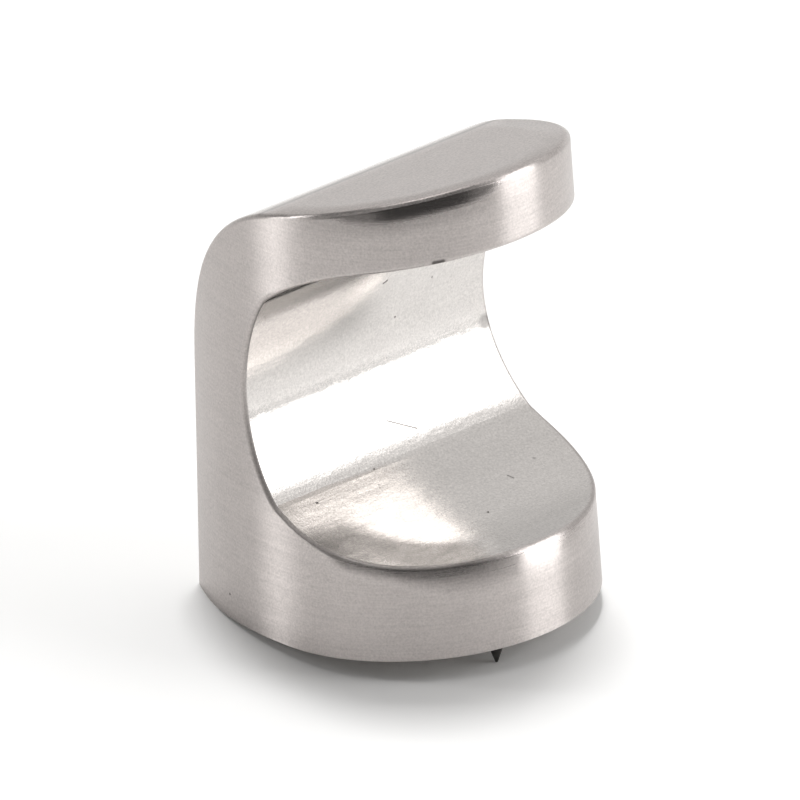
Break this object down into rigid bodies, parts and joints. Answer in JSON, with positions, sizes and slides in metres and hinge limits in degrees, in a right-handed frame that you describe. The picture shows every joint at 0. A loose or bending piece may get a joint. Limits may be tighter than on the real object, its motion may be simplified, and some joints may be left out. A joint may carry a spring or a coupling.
{
  "type": "cabinet knob",
  "caption": "One-piece finger-pull cabinet knob: round foot, flat-backed column, scooped finger gap and an upswept lip, satin nickel, screwed on from behind.",
  "frame": {"origin": "centre of the screw hole's mouth, in the plane of the foot that lies on the door", "axes": "+Z away from the door, out through the lip; -Y towards the open side of the finger gap; X across the knob, along the finger gap"},
  "size_m": [0.03, 0.0282, 0.0416],
  "materials": {
    "satin_nickel": "satin nickel plate, brushed round the foot, smoother in the scoop"
  },
  "bodies": {
    "root": {"knob_body": "satin_nickel"}
  },
  "joints": []
}
